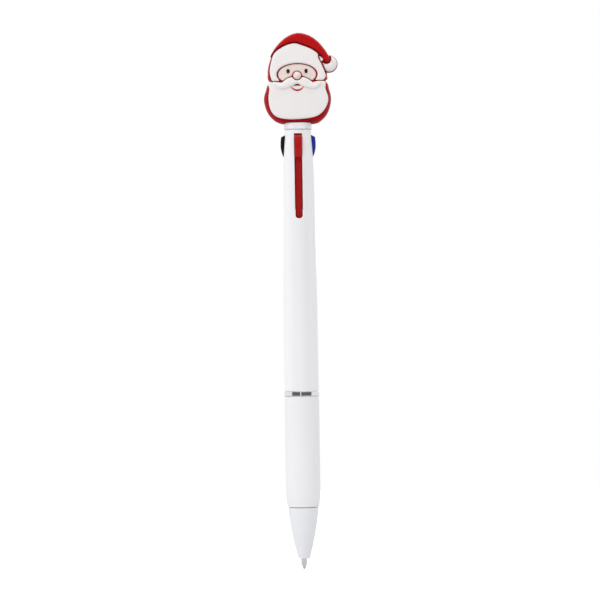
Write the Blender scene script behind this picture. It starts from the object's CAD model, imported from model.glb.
import math

import bpy
import numpy as np
from mathutils import Matrix, Vector


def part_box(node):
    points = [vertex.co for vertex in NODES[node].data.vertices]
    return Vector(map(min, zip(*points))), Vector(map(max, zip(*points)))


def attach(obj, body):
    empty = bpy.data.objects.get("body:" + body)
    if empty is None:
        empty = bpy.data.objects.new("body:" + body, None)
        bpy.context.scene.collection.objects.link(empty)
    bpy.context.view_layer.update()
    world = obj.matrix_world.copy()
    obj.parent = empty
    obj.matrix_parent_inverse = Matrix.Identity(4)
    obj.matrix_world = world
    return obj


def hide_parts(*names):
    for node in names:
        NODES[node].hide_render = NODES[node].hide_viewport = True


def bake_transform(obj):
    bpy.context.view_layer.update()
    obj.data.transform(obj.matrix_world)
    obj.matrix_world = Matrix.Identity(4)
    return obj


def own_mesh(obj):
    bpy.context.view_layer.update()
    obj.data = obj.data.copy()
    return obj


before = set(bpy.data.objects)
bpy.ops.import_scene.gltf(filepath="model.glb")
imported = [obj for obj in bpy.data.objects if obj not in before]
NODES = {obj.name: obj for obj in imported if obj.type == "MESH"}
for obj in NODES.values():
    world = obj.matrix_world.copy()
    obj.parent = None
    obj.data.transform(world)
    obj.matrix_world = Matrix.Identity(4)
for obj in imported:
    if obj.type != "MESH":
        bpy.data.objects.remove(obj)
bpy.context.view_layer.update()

MM = 0.001
COLOURS = ("black", "red", "blue", "green")
PEN = "pen_body"
SHARP_EDGE = 32  # edges above this angle, in degrees, stay sharp in smooth shading
TIP_SHARP_EDGE = 15

# Heights that the CAD model gives, in millimetres
RING_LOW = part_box("chrome_ring")[0].z / MM
HEAD_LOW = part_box("head_core")[0].z / MM
HEAD_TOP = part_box("head_core")[1].z / MM


# ---------------------------------------------------------------- materials


def srgb(red, green, blue):
    """Linear colour from 0-255 screen values."""
    return tuple(((c / 255 + 0.055) / 1.055) ** 2.4 if c > 10 else c / 3295 for c in (red, green, blue))


class Material:
    """One node material: a Principled shader with mottled colour, roughness and fine relief."""

    def __init__(self, name, colour, roughness=0.4, **sockets):
        self.material = bpy.data.materials.new(name)
        self.material.use_nodes = True
        self.tree = self.material.node_tree
        self.shader = self.tree.nodes["Principled BSDF"]
        self.place = self.add("ShaderNodeTexCoord").outputs["Object"]
        self.colour = (*colour, 1.0)
        self.roughness = roughness
        self.height = None
        self.shader.inputs["Base Color"].default_value = self.colour
        self.shader.inputs["Roughness"].default_value = roughness
        for socket, value in sockets.items():
            self.shader.inputs[socket.replace("_", " ")].default_value = value

    def add(self, kind, **settings):
        node = self.tree.nodes.new(kind)
        for key, value in settings.items():
            setattr(node, key, value)
        return node

    def join(self, output, target):
        self.tree.links.new(output, target)

    def noise(self, size, detail=3.0, stretch=(1, 1, 1)):
        """Noise whose features are about size millimetres across, stretched along the axes."""
        mapping = self.add("ShaderNodeMapping")
        mapping.inputs["Scale"].default_value = tuple(1 / (size * MM * s) for s in stretch)
        texture = self.add("ShaderNodeTexNoise")
        texture.inputs["Scale"].default_value = 1.0
        texture.inputs["Detail"].default_value = detail
        self.join(self.place, mapping.inputs["Vector"])
        self.join(mapping.outputs["Vector"], texture.inputs["Vector"])
        return texture.outputs["Fac"]

    def remap(self, value, low, high, source=(0.3, 0.7)):
        node = self.add("ShaderNodeMapRange")
        node.inputs["From Min"].default_value = source[0]
        node.inputs["From Max"].default_value = source[1]
        node.inputs["To Min"].default_value = low
        node.inputs["To Max"].default_value = high
        self.join(value, node.inputs["Value"])
        return node.outputs["Result"]

    def tint(self, share, colour):
        """Mix the base colour towards another one by a node value."""
        mix = self.add("ShaderNodeMix", data_type="RGBA")
        mix.inputs["A"].default_value = self.colour
        mix.inputs["B"].default_value = (*colour, 1.0)
        self.join(share, mix.inputs["Factor"])
        self.join(mix.outputs["Result"], self.shader.inputs["Base Color"])
        return self

    def mottle(self, size, colour, share=0.25, stretch=(1, 1, 1)):
        return self.tint(self.remap(self.noise(size, stretch=stretch), 0.0, share), colour)

    def vary_roughness(self, size, spread=0.06, stretch=(1, 1, 1)):
        low, high = self.roughness - spread, self.roughness + spread
        value = self.remap(self.noise(size, 4.0, stretch), max(low, 0.02), high)
        self.join(value, self.shader.inputs["Roughness"])
        return self

    def relief(self, size, height_um, detail=2.0, stretch=(1, 1, 1)):
        """Fine surface relief, added over any relief that is already there."""
        bump = self.add("ShaderNodeBump")
        bump.inputs["Distance"].default_value = height_um * 1e-6
        bump.inputs["Strength"].default_value = 1.0
        self.join(self.noise(size, detail, stretch), bump.inputs["Height"])
        if self.height is not None:
            self.join(self.height, bump.inputs["Normal"])
        self.height = bump.outputs["Normal"]
        self.join(self.height, self.shader.inputs["Normal"])
        return self


def moulded_plastic(name, colour, shade, roughness=0.22, orange_peel=1.2, **sockets):
    """Injection-moulded plastic: faint flow mottling, long-wave sink and fine orange peel."""
    made = Material(name, colour, roughness, **sockets)
    made.mottle(9.0, shade, 0.35, stretch=(1, 1, 3))
    made.vary_roughness(1.6, 0.05, stretch=(1, 1, 4))
    made.relief(2.6, orange_peel * 3, stretch=(1, 1, 2))
    made.relief(0.35, orange_peel)
    return made.material


def soft_pvc(name, colour, shade, roughness=0.48, gloss=0.2):
    """Soft moulded PVC: satin, slightly cloudy, with a fine matt grain."""
    made = Material(name, colour, roughness, Specular_IOR_Level=gloss)
    made.mottle(3.5, shade, 0.3)
    made.vary_roughness(0.8, 0.07)
    made.relief(1.4, 4.0)
    made.relief(0.18, 1.5)
    return made.material


def metal(name, colour, roughness, grain_stretch=(1, 1, 0.05), spread=0.05):
    """Turned or drawn metal with grain round the axis."""
    made = Material(name, colour, roughness, Metallic=1.0)
    made.mottle(1.5, tuple(c * 0.8 for c in colour), 0.4)
    made.vary_roughness(0.8, spread, stretch=grain_stretch)
    made.relief(0.5, 0.5, stretch=grain_stretch)
    return made.material


def clear_plastic(name, roughness=0.1, tint=(0.97, 0.975, 0.985), clearness=0.6):
    """Clear or milky moulded plastic with faint flow lines."""
    made = Material(name, tint, roughness, Transmission_Weight=clearness, IOR=1.4)
    made.vary_roughness(2.0, 0.03)
    made.relief(1.8, 5.0, stretch=(1, 1, 2))
    return made.material


def make_materials():
    white = srgb(241, 241, 243)
    matt = {"Specular_IOR_Level": 0.22}
    return {
        "barrel": moulded_plastic("barrel_gloss_white", white, srgb(235, 235, 238), 0.2, Coat_Weight=0.3),
        "core": moulded_plastic("core_gloss_white", white, srgb(233, 234, 237), 0.28),
        "inner": moulded_plastic("inner_white", srgb(220, 220, 220), srgb(206, 206, 206), 0.45),
        "grip": moulded_plastic("grip_satin_white", srgb(238, 238, 240), srgb(230, 230, 233), 0.36, 1.6),
        "nose": moulded_plastic("nose_satin_white", srgb(234, 235, 238), srgb(228, 229, 234), 0.3, 1.4),
        "chrome": metal("ring_chrome", (0.86, 0.86, 0.87), 0.06, spread=0.02),
        "spring": metal("spring_steel", (0.55, 0.55, 0.57), 0.28),
        "tip": metal("tip_nickel_silver", (0.74, 0.74, 0.74), 0.15),
        "ball": metal("ball_carbide", (0.12, 0.12, 0.13), 0.2),
        "clear": clear_plastic("plug_clear", 0.12, clearness=0.42),
        "tube": clear_plastic("refill_translucent", 0.3, (0.9, 0.92, 0.93)),
        "black": moulded_plastic("slider_black", srgb(12, 12, 13), srgb(20, 20, 22), 0.3, **matt),
        "red": moulded_plastic("slider_red", srgb(176, 12, 8), srgb(160, 14, 12), 0.26, **matt),
        "blue": moulded_plastic("slider_blue", srgb(28, 46, 148), srgb(36, 56, 158), 0.3, **matt),
        "green": moulded_plastic("slider_green", srgb(12, 108, 58), srgb(18, 120, 66), 0.3, **matt),
        "ink_black": moulded_plastic("ink_black", srgb(8, 8, 10), srgb(14, 14, 18), 0.2),
        "ink_red": moulded_plastic("ink_red", srgb(170, 8, 20), srgb(150, 8, 20), 0.2),
        "ink_blue": moulded_plastic("ink_blue", srgb(10, 26, 140), srgb(14, 34, 150), 0.2),
        "ink_green": moulded_plastic("ink_green", srgb(0, 96, 48), srgb(0, 84, 44), 0.2),
        "pvc_red": soft_pvc("pvc_red", srgb(182, 14, 18), srgb(168, 10, 15), 0.5, 0.08),
        "pvc_deep_red": soft_pvc("pvc_deep_red", srgb(166, 12, 18), srgb(150, 8, 14), 0.4, 0.05),
        "pvc_white": soft_pvc("pvc_white", srgb(241, 237, 236), srgb(234, 229, 229)),
        "pvc_skin": soft_pvc("pvc_skin", srgb(238, 222, 215), srgb(232, 212, 205)),
        "pvc_dark": soft_pvc("pvc_dark", srgb(36, 24, 24), srgb(48, 32, 32), 0.3),
        "pvc_mouth": soft_pvc("pvc_mouth", srgb(196, 34, 36), srgb(180, 26, 30)),
    }


MATERIALS = make_materials()


def wear(obj, name):
    """Give an object one of the materials in all its slots."""
    obj.data.materials.clear()
    obj.data.materials.append(MATERIALS[name])


def linked(name, mesh):
    """New object for a mesh, in the scene."""
    obj = bpy.data.objects.new(name, mesh)
    bpy.context.scene.collection.objects.link(obj)
    return obj


def smooth(obj, degrees=SHARP_EDGE):
    """Smooth shading that keeps edges sharper than an angle."""
    obj.data.shade_smooth()
    obj.data.set_sharp_from_angle(angle=math.radians(degrees))


def dress_cad_nodes():
    finishes = {
        "upper_barrel": "barrel",
        "lower_barrel": "inner",
        "grip_sleeve": "grip",
        "nose_cone": "nose",
        "chrome_ring": "chrome",
        "slider_core": "core",
        "guide_disc": "inner",
        "clear_plug": "clear",
    }
    for colour in COLOURS:
        finishes[f"{colour}_slider"] = colour
        finishes[f"{colour}_spring"] = "spring"
        finishes[f"{colour}_refill_tube"] = "tube"
        finishes[f"{colour}_refill_ink"] = f"ink_{colour}"
        finishes[f"{colour}_refill_tip"] = "tip"
        finishes[f"{colour}_refill_ball"] = "ball"
    for node, finish in finishes.items():
        wear(NODES[node], finish)
        smooth(NODES[node], TIP_SHARP_EDGE if finish == "tip" else SHARP_EDGE)


# ---------------------------------------------------------------- refills and springs

SIDES = {"black": 180, "red": 270, "blue": 0, "green": 90}  # direction of each slot, degrees
PRESSED = "green"
REFILL_OFFSET = 2.3
BEND_LOW = 12.0  # the extended refill bends between these heights
BEND_HIGH = 70.0
TUBE_RADIUS = 1.1
TUBE_BORE = 0.8
INK_GAP = 0.02
REFILL_SIDES = 24
REFILL_RINGS = 64


def ringed(name, rings, direction, closed):
    """Mesh through level rings of (offset towards the slot, radius, height), closed into a tube's two
    walls or capped as a rod."""
    sides = REFILL_SIDES
    turn = np.linspace(0, 2 * math.pi, sides, endpoint=False)
    points = []
    for offset, radius, height in rings:
        x = offset * math.cos(direction) + radius * np.cos(turn)
        y = offset * math.sin(direction) + radius * np.sin(turn)
        points.append(np.stack([x, y, np.full(sides, height)], 1))
    count = len(rings)
    faces = []
    for i in range(count if closed else count - 1):
        below, above = i * sides, (i + 1) % count * sides
        for k in range(sides):
            after = (k + 1) % sides
            faces.append((below + k, below + after, above + after, above + k))
    if not closed:
        faces.append(tuple(range(sides - 1, -1, -1)))
        faces.append(tuple(range((count - 1) * sides, count * sides)))
    mesh = bpy.data.meshes.new(name)
    mesh.from_pydata((np.concatenate(points) * MM).tolist(), [], faces)
    return linked(name, mesh)


def bending_refill(colour, part, radii, finish):
    """A refill's tube or ink, fine enough to bend as its point is brought to the nose's mouth."""
    node = f"{colour}_refill_{part}"
    low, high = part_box(node)
    heights = np.linspace(low.z, high.z, REFILL_RINGS) / MM
    share = np.clip((heights - BEND_LOW) / (BEND_HIGH - BEND_LOW), 0, 1)
    bend = share**2 * (3 - 2 * share) if colour == PRESSED else np.ones_like(share)
    path = list(zip(REFILL_OFFSET * bend, heights))
    rings = [(offset, radii[0], height) for offset, height in path]
    if len(radii) > 1:
        rings += [(offset, radii[1], height) for offset, height in reversed(path)]
    obj = ringed(f"{node}_form", rings, math.radians(SIDES[colour]), len(radii) > 1)
    wear(obj, finish)
    smooth(obj)
    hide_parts(node)
    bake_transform(obj)


def working_spring(colour):
    """The raised springs shorten as their slider goes down; the compressed one grows as it comes up."""
    spring = NODES[f"{colour}_spring"]
    if colour != PRESSED:
        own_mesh(spring)
        return
    longer = linked(f"{colour}_spring_form", spring.data.copy())
    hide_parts(spring.name)
    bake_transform(longer)


def build_insides():
    for colour in COLOURS:
        bending_refill(colour, "tube", (TUBE_RADIUS, TUBE_BORE), "tube")
        bending_refill(colour, "ink", (TUBE_BORE - INK_GAP,), f"ink_{colour}")
        working_spring(colour)


# ---------------------------------------------------------------- meshes from solid functions


def smooth_loop(points, per_span=14):
    """Closed smooth curve through the points, sampled."""
    p = np.array(points, float)
    before, after, later = np.roll(p, 1, 0), np.roll(p, -1, 0), np.roll(p, -2, 0)
    t = (np.arange(per_span) / per_span)[None, :, None]
    a, b, c, d = (q[:, None, :] for q in (before, p, after, later))
    curve = 0.5 * (
        2 * b + (c - a) * t + (2 * a - 5 * b + 4 * c - d) * t**2 + (3 * b - a - 3 * c + d) * t**3
    )
    return curve.reshape(-1, 2)


def loop_distance(loop, x, z):
    """Signed distance in the XZ plane to a closed curve, negative inside."""
    start, end = loop, np.roll(loop, -1, 0)
    best = np.full(x.shape, 1e9)
    inside = np.zeros(x.shape, bool)
    for (ax, az), (bx, bz) in zip(start, end):
        ex, ez = bx - ax, bz - az
        wx, wz = x - ax, z - az
        along = np.clip((wx * ex + wz * ez) / max(ex * ex + ez * ez, 1e-12), 0, 1)
        best = np.minimum(best, (wx - along * ex) ** 2 + (wz - along * ez) ** 2)
        crosses = (az > z) != (bz > z)
        if crosses.any():
            inside ^= crosses & (x < ex * (z - az) / (ez if ez else 1e-12) + ax)
    return np.where(inside, -1, 1) * np.sqrt(best)


def surface_mesh(name, field, low, step):
    """Closed quad mesh on the zero surface of a sampled field, one vertex for each mixed cell."""
    negative = field < 0
    shape = np.array(field.shape) - 1
    total = np.zeros((*shape, 3))
    count = np.zeros(shape)
    for axis in range(3):
        others = [a for a in range(3) if a != axis]
        for u in (0, 1):
            for v in (0, 1):
                corner = [slice(0, shape[a]) for a in range(3)]
                corner[others[0]] = slice(u, shape[others[0]] + u)
                corner[others[1]] = slice(v, shape[others[1]] + v)
                far = list(corner)
                far[axis] = slice(1, shape[axis] + 1)
                f0, f1 = field[tuple(corner)], field[tuple(far)]
                mixed = negative[tuple(corner)] != negative[tuple(far)]
                share = np.where(mixed, f0 / np.where(mixed, f0 - f1, 1), 0)
                count += mixed
                total[..., axis] += share
                total[..., others[0]] += u * mixed
                total[..., others[1]] += v * mixed
    used = count > 0
    index = np.full(shape, -1)
    index[used] = np.arange(used.sum())
    cells = np.argwhere(used)
    points = (cells + total[used] / count[used][:, None]) * step + low
    faces = []
    for axis in range(3):
        others = [a for a in range(3) if a != axis]
        first = [slice(1, shape[a]) for a in range(3)]
        first[axis] = slice(0, shape[axis])
        ahead = list(first)
        ahead[axis] = slice(1, shape[axis] + 1)
        here, there = negative[tuple(first)], negative[tuple(ahead)]
        spots = np.argwhere(here != there) + [0 if a == axis else 1 for a in range(3)]
        outward = here[here != there]
        ring = []
        for u, v in ((0, 0), (1, 0), (1, 1), (0, 1)):
            cell = spots.copy()
            cell[:, others[0]] -= u
            cell[:, others[1]] -= v
            ring.append(index[tuple(cell.T)])
        quads = np.stack(ring, 1)
        flip = outward if axis == 1 else ~outward
        quads[flip] = quads[flip][:, ::-1]
        faces.append(quads)
    mesh = bpy.data.meshes.new(name)
    mesh.from_pydata((points * MM).tolist(), [], np.concatenate(faces).tolist())
    return linked(name, mesh)


def relax(obj, rounds=4, factor=0.5):
    """Even out the mesh a little."""
    modifier = obj.modifiers.new("relax", "SMOOTH")
    modifier.iterations = rounds
    modifier.factor = factor
    apply_modifiers(obj)


def apply_modifiers(obj):
    graph = bpy.context.evaluated_depsgraph_get()
    mesh = bpy.data.meshes.new_from_object(obj.evaluated_get(graph))
    obj.modifiers.clear()
    obj.data = mesh


# ---------------------------------------------------------------- head

HEAD_STEP = 0.16
CORE_MIDDLE = 1.0  # depth of the widest section of the head
GROOVE = 0.26  # width of the grooves between two colours, where the red core shows
CORE_FRONT = -3.5
FACE_FRONT = -4.1
LAYER_FRONT = -4.8
MOUSTACHE_FRONT = -5.6
NOSE_FRONT = -5.95
BOW = 0.5  # how far the front falls back towards the head's rim


class HeadGrid:
    """Sample points over the head, in millimetres, and outline distances and solids on them."""

    def __init__(self, low, high, step):
        self.low = np.array(low, float)
        self.step = step
        counts = np.ceil((np.array(high) - self.low) / step).astype(int) + 1
        axes = [self.low[i] + step * np.arange(counts[i]) for i in range(3)]
        self.x, self.z = np.meshgrid(axes[0], axes[2], indexing="ij")
        self.y = axes[1]
        self.bow = BOW * ((self.x / 10) ** 2 + ((self.z - 153) / 16) ** 2)

    def outline(self, points):
        return loop_distance(smooth_loop(points), self.x, self.z)

    def oval(self, x, z, radius_x, radius_z=None):
        radius_z = radius_z or radius_x
        scaled = np.hypot((self.x - x) / radius_x, (self.z - z) / radius_z)
        return (scaled - 1) * min(radius_x, radius_z)

    def cushion(self, edges, front, middle=None, back=0.0, back_round=0.8):
        """Solid over a flat outline. edges are pairs of an outline distance and the width over which
        the front rounds off towards it. Between the depths middle and back it stands straight."""
        middle = front + 0.8 if middle is None else middle
        y = self.y[None, :, None]
        ahead = sum(np.maximum(1 + distance / width, 0) ** 2 for distance, width in edges)
        behind = sum(np.maximum(1 + distance / back_round, 0) ** 2 for distance, _ in edges)
        rise = ((middle - y) / (middle - front - self.bow[:, None, :])) ** 2
        fall = ((y - middle) / (back - middle)) ** 2
        return np.sqrt(np.where(y < middle, ahead[:, None, :] + rise, behind[:, None, :] + fall)) - 1

    def mesh(self, name, field, finish, slot, *nodes):
        """Mesh a solid, rounded a little, that stands for the given CAD nodes."""
        obj = surface_mesh(name, field, self.low, self.step)
        relax(obj)
        obj.data.shade_smooth()
        obj.data.materials.append(MATERIALS[finish])
        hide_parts(*nodes)
        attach(obj, PEN)


# Outlines in the XZ plane, in millimetres, +X to the viewer's right
BEARD_BACK = (
    (0, 139.6), (2.4, 139.2), (4.6, 138.9), (6.9, 139.6), (9.3, 142.15), (10.5, 146.1), (10.0, 149.6),
    (8.4, 152.6), (0, 156), (-8.3, 152.1), (-9.9, 149.4), (-10.5, 146.5), (-9.5, 142.8), (-7.4, 140.2),
    (-4.8, 139.0), (-2.4, 139.15),
)  # fmt: skip
HAT_BACK = (
    (0.5, 167.4), (3.8, 166.6), (6.4, 164.85), (8.4, 162.6), (9.7, 160.5), (8.8, 157.4), (9.4, 154.0),
    (8.5, 152.3), (0, 149.5), (-8.2, 151.9), (-9.2, 155.3), (-8.4, 159.0), (-7.2, 162.2), (-5.2, 164.55),
    (-2.6, 166.5),
)  # fmt: skip
BRIM = (
    (-1.0, 164.0), (1.8, 163.3), (4.4, 162.2), (6.4, 160.8), (6.7, 159.3), (7.6, 157.5), (8.5, 155.2),
    (8.9, 153.6), (8.0, 152.5), (6.4, 152.4), (0, 151.6), (-6.9, 152.3), (-7.8, 152.3), (-8.5, 155.2),
    (-8.0, 158.2), (-7.0, 160.9), (-4.4, 162.9),
)  # fmt: skip
HAT_CROWN = (
    (0.5, 167.4), (3.8, 166.6), (6.4, 164.85), (8.4, 162.6), (9.7, 160.6), (10.3, 159.2), (10.1, 158.2),
    (9.3, 157.8), (8.5, 158.2), (7.9, 159.4), (6.6, 160.5), (3.0, 160.5), (-3.5, 160.5), (-8.1, 159.6),
    (-7.3, 162.0), (-5.2, 164.55), (-2.6, 166.5),
)  # fmt: skip
BEARD = (
    (0, 154.4), (8.0, 152.6), (8.8, 149.6), (9.6, 146.8), (9.0, 144.3), (7.4, 142.2), (4.8, 140.9),
    (0, 140.35), (-4.0, 140.5), (-6.9, 141.4), (-8.5, 143.6), (-9.0, 146.8), (-8.7, 149.6), (-8.3, 152.2),
)  # fmt: skip
MOUSTACHE_SIDE = (
    (-0.6, 153.0), (1.2, 153.5), (3.2, 152.9), (5.0, 151.6), (6.2, 151.5), (7.0, 152.1), (7.1, 151.0),
    (6.0, 149.9), (4.2, 149.7), (2.0, 150.4), (0.4, 151.2), (-0.6, 151.6),
)  # fmt: skip
TAIL_GAP = ((6.95, 160.0), (7.6, 159.6), (8.3, 158.9), (7.9, 158.5), (7.5, 158.3), (7.2, 159.1))
POMPOM = (9.95, 157.6)
POMPOM_RADIUS = 2.5
WINDOW = (0, 154.3, 6.4, 3.5)  # centre and radii of the face opening
NOSE = (0, 153.9, 1.25)
EYE_SIDE, EYE_HEIGHT, EYE_WIDTH, EYE_TALL = 2.8, 155.3, 0.55, 0.75
SMILE_BELOW = (0, 151.2, 2.2)  # the smile is this disc without the next one
SMILE_ABOVE = (0, 151.9, 2.3)
GRID_LOW = (-11.5, -6.8)  # least X and depth of the samples over the head
GRID_HIGH = (13.6, 6.2)
GRID_MARGIN = 0.8


def mirrored(points):
    return tuple((-x, z) for x, z in points)


def build_head():
    grid = HeadGrid((*GRID_LOW, HEAD_LOW - GRID_MARGIN), (*GRID_HIGH, HEAD_TOP + GRID_MARGIN), HEAD_STEP)
    brim = grid.outline(BRIM)
    crown = grid.outline(HAT_CROWN)
    beard = grid.outline(BEARD)
    moustache = np.minimum(grid.outline(MOUSTACHE_SIDE), grid.outline(mirrored(MOUSTACHE_SIDE)))
    window = grid.oval(*WINDOW)
    pompom = grid.oval(*POMPOM, POMPOM_RADIUS)
    nose = grid.oval(*NOSE)

    crown_solid = grid.cushion([(crown, 0.9), (GROOVE - brim, 0.4)], -5.0, -1.0, 3.0, 1.5)
    under_crown = 0.28 * np.clip((grid.z - 159.5) / 2, 0, 1)  # the crown stands out of the core
    core = np.minimum(
        grid.cushion([(grid.outline(BEARD_BACK), 2.1)], CORE_FRONT, CORE_MIDDLE, 5.0, 4.0),
        grid.cushion([(grid.outline(HAT_BACK) + under_crown, 1.0)], CORE_FRONT, CORE_MIDDLE, 4.4, 3.6),
    )
    backing = grid.oval(*POMPOM, POMPOM_RADIUS + 0.25)
    core = np.minimum(core, grid.cushion([(backing, 0.7)], -1.9, 0.4, 2.8, 1.6))
    collar = np.hypot(grid.x[:, None, :] / 4.7, (grid.y[None, :, None] - 0.2) / 3.9) - 1
    slab = np.abs(grid.z - 141.0) / 1.6 - 1
    core = np.minimum(core, np.maximum(collar, slab[:, None, :]))
    grid.mesh("head_core_form", core, "pvc_deep_red", "pvc_red", "head_core")
    grid.mesh("hat_form", crown_solid, "pvc_red", "pvc_red", "hat")

    brim_solid = grid.cushion([(brim, 0.7), (-window, 0.4)], LAYER_FRONT)
    grid.mesh("hat_brim_form", brim_solid, "pvc_white", "pvc_white", "hat_brim")
    beard_edges = [(beard, 0.8), (GROOVE - brim, 0.4), (-window, 0.4)]
    grid.mesh("beard_form", grid.cushion(beard_edges, LAYER_FRONT), "pvc_white", "pvc_white", "beard")
    moustache_edges = [(moustache, 0.8), (GROOVE - nose, 0.3)]
    moustache_solid = grid.cushion(moustache_edges, MOUSTACHE_FRONT, back=-3.0)
    grid.mesh("moustache_form", moustache_solid, "pvc_white", "pvc_white", "moustache")
    skin_edges = [(window + GROOVE, 0.35), (GROOVE - moustache, 0.3), (GROOVE - nose, 0.3)]
    skin = grid.cushion(skin_edges, FACE_FRONT, FACE_FRONT + 0.4, -2.0)
    grid.mesh("face_plate_form", skin, "pvc_skin", "pvc_skin", "face_plate")
    ball_edges = [(pompom, 1.8), (GROOVE - crown, 0.4), (GROOVE - brim, 0.5)]
    ball = grid.cushion(ball_edges, -4.2, -2.0, 0.6)
    ball = np.minimum(ball, grid.cushion([(grid.outline(TAIL_GAP), 0.3)], -4.0, -3.6))
    grid.mesh("pompom_form", ball, "pvc_white", "pvc_white", "pompom")
    nose_solid = grid.cushion([(nose, 1.2)], NOSE_FRONT, -4.4, -2.6)
    grid.mesh("nose_form", nose_solid, "pvc_skin", "pvc_skin", "nose")
    for side, node in ((1, "eye_left"), (-1, "eye_right")):
        eye_oval = grid.oval(side * EYE_SIDE, EYE_HEIGHT, EYE_WIDTH, EYE_TALL)
        eye = grid.cushion([(eye_oval, 0.4)], -4.5, -4.1, -3.2)
        grid.mesh(f"{node}_form", eye, "pvc_dark", "pvc_dark", node)
    smile = np.maximum(grid.oval(*SMILE_BELOW), -grid.oval(*SMILE_ABOVE))
    smile_solid = grid.cushion([(smile, 0.3)], -5.1, -4.7, -3.6)
    grid.mesh("mouth_form", smile_solid, "pvc_mouth", "pvc_mouth", "mouth")


# ---------------------------------------------------------------- studio


def build_floor():
    """Round white floor. Seen directly it is a little brighter than its light on the pen."""
    bpy.ops.mesh.primitive_circle_add(vertices=96, radius=0.5, fill_type="NGON", location=(0, 0, -0.0002))
    floor = bpy.context.object
    floor.name = "studio_floor"
    made = Material("floor_white", (0.5, 0.5, 0.5), 0.7, Specular_IOR_Level=0.1)
    made.mottle(60.0, (0.48, 0.48, 0.48), 0.3)
    made.shader.inputs["Emission Color"].default_value = (1, 1, 1, 1)
    glow = made.remap(made.add("ShaderNodeLightPath").outputs["Is Camera Ray"], 0.2, 0.62, (0, 1))
    made.join(glow, made.shader.inputs["Emission Strength"])
    floor.data.materials.append(made.material)


def softbox(name, azimuth, elevation, distance, width, height, power, mirrored=True):
    """Soft rectangular light that looks at the pen's middle. Azimuth 0 is in front, 90 on the right."""
    light = bpy.data.lights.new(name, "AREA")
    light.shape = "RECTANGLE"
    light.size, light.size_y = width, height
    light.energy = power
    holder = bpy.data.objects.new(name, light)
    level = distance * math.cos(math.radians(elevation))
    direction = Vector((
        level * math.sin(math.radians(azimuth)),
        -level * math.cos(math.radians(azimuth)),
        distance * math.sin(math.radians(elevation)),
    ))
    holder.location = Vector((0, 0, 0.085)) + direction
    holder.rotation_euler = direction.to_track_quat("Z", "Y").to_euler()
    holder.visible_glossy = mirrored
    bpy.context.scene.collection.objects.link(holder)


def build_lights():
    softbox("softbox_left", -48, 22, 0.9, 0.6, 0.9, 2.2, mirrored=False)
    softbox("softbox_right", 62, 12, 0.9, 0.5, 0.8, 0.6, mirrored=False)
    softbox("softbox_front", -8, 14, 1.0, 0.7, 0.9, 1.4, mirrored=False)
    softbox("softbox_top", -20, 75, 0.8, 0.6, 0.6, 0.7)
    softbox("softbox_back", 175, 25, 0.9, 0.8, 0.8, 1.6)


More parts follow.
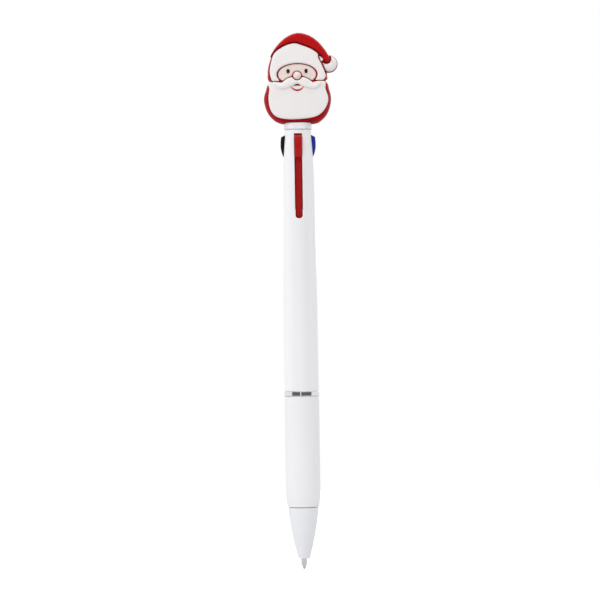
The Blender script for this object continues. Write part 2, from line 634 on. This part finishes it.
def build_world():
    """Pale surroundings, duller on the right, with a dark level band in front that polished metal
    mirrors, and a narrow bright strip in that band."""
    world = bpy.data.worlds.new("studio")
    bpy.context.scene.world = world
    world.use_nodes = True
    tree = world.node_tree
    direction = tree.nodes.new("ShaderNodeSeparateXYZ")
    tree.links.new(tree.nodes.new("ShaderNodeTexCoord").outputs["Generated"], direction.inputs["Vector"])

    def fade(output, start, end):
        ramp = tree.nodes.new("ShaderNodeMapRange")
        ramp.interpolation_type = "SMOOTHSTEP"
        ramp.inputs["From Min"].default_value = start
        ramp.inputs["From Max"].default_value = end
        tree.links.new(output, ramp.inputs["Value"])
        return ramp.outputs["Result"]

    def math_node(operation, first, second=None):
        made = tree.nodes.new("ShaderNodeMath")
        made.operation = operation
        for place, value in enumerate((first, second)):
            if isinstance(value, (int, float)):
                made.inputs[place].default_value = value
            elif value is not None:
                tree.links.new(value, made.inputs[place])
        return made.outputs["Value"]

    def layer(share, below, above):
        made = tree.nodes.new("ShaderNodeMix")
        made.data_type = "RGBA"
        tree.links.new(share, made.inputs["Factor"])
        for socket, colour in (("A", below), ("B", above)):
            if isinstance(colour, tuple):
                made.inputs[socket].default_value = (*colour, 1)
            else:
                tree.links.new(colour, made.inputs[socket])
        return made.outputs["Result"]

    level = math_node("ABSOLUTE", direction.outputs["Z"])
    in_front = fade(direction.outputs["Y"], -0.28, -0.5)
    band = math_node("MULTIPLY", in_front, fade(level, 0.34, 0.2))
    off_strip = math_node("ABSOLUTE", math_node("ADD", direction.outputs["X"], 0.12))
    strip = math_node("MULTIPLY", fade(off_strip, 0.07, 0.04), band)
    sides = layer(fade(direction.outputs["X"], -0.6, 0.9), (0.93, 0.93, 0.94), (0.9, 0.9, 0.91))
    banded = layer(band, sides, (0.13, 0.13, 0.135))
    fill = tree.nodes["Background"]
    tree.links.new(layer(strip, banded, (0.9, 0.9, 0.9)), fill.inputs["Color"])
    backdrop = tree.nodes.new("ShaderNodeBackground")
    backdrop.inputs["Color"].default_value = (1, 1, 1, 1)
    seen = tree.nodes.new("ShaderNodeMixShader")
    tree.links.new(tree.nodes.new("ShaderNodeLightPath").outputs["Is Camera Ray"], seen.inputs["Fac"])
    tree.links.new(fill.outputs["Background"], seen.inputs[1])
    tree.links.new(backdrop.outputs["Background"], seen.inputs[2])
    tree.links.new(seen.outputs["Shader"], tree.nodes["World Output"].inputs["Surface"])


def build_camera():
    """Level view from the front with a long lens, square on to the front slot, the pen leaning a little."""
    frame_height = 187.5 * MM
    distance = 1.2
    lean = math.radians(0.84)
    data = bpy.data.cameras.new("camera")
    data.lens = data.sensor_width * distance / frame_height
    camera = bpy.data.objects.new("camera", data)
    camera.matrix_world = (
        Matrix.Translation((-0.13 * MM, -distance, 84.0 * MM))
        @ Matrix.Rotation(math.radians(90), 4, "X")
        @ Matrix.Rotation(-lean, 4, "Z")
    )
    bpy.context.scene.collection.objects.link(camera)
    bpy.context.scene.camera = camera


def set_colour_management():
    view = bpy.context.scene.view_settings
    view.view_transform = "Standard"
    view.look = "None"
    view.exposure = 0.0
    view.gamma = 1.0


build_camera()
set_colour_management()
build_world()
build_lights()
build_floor()
dress_cad_nodes()
build_insides()
build_head()
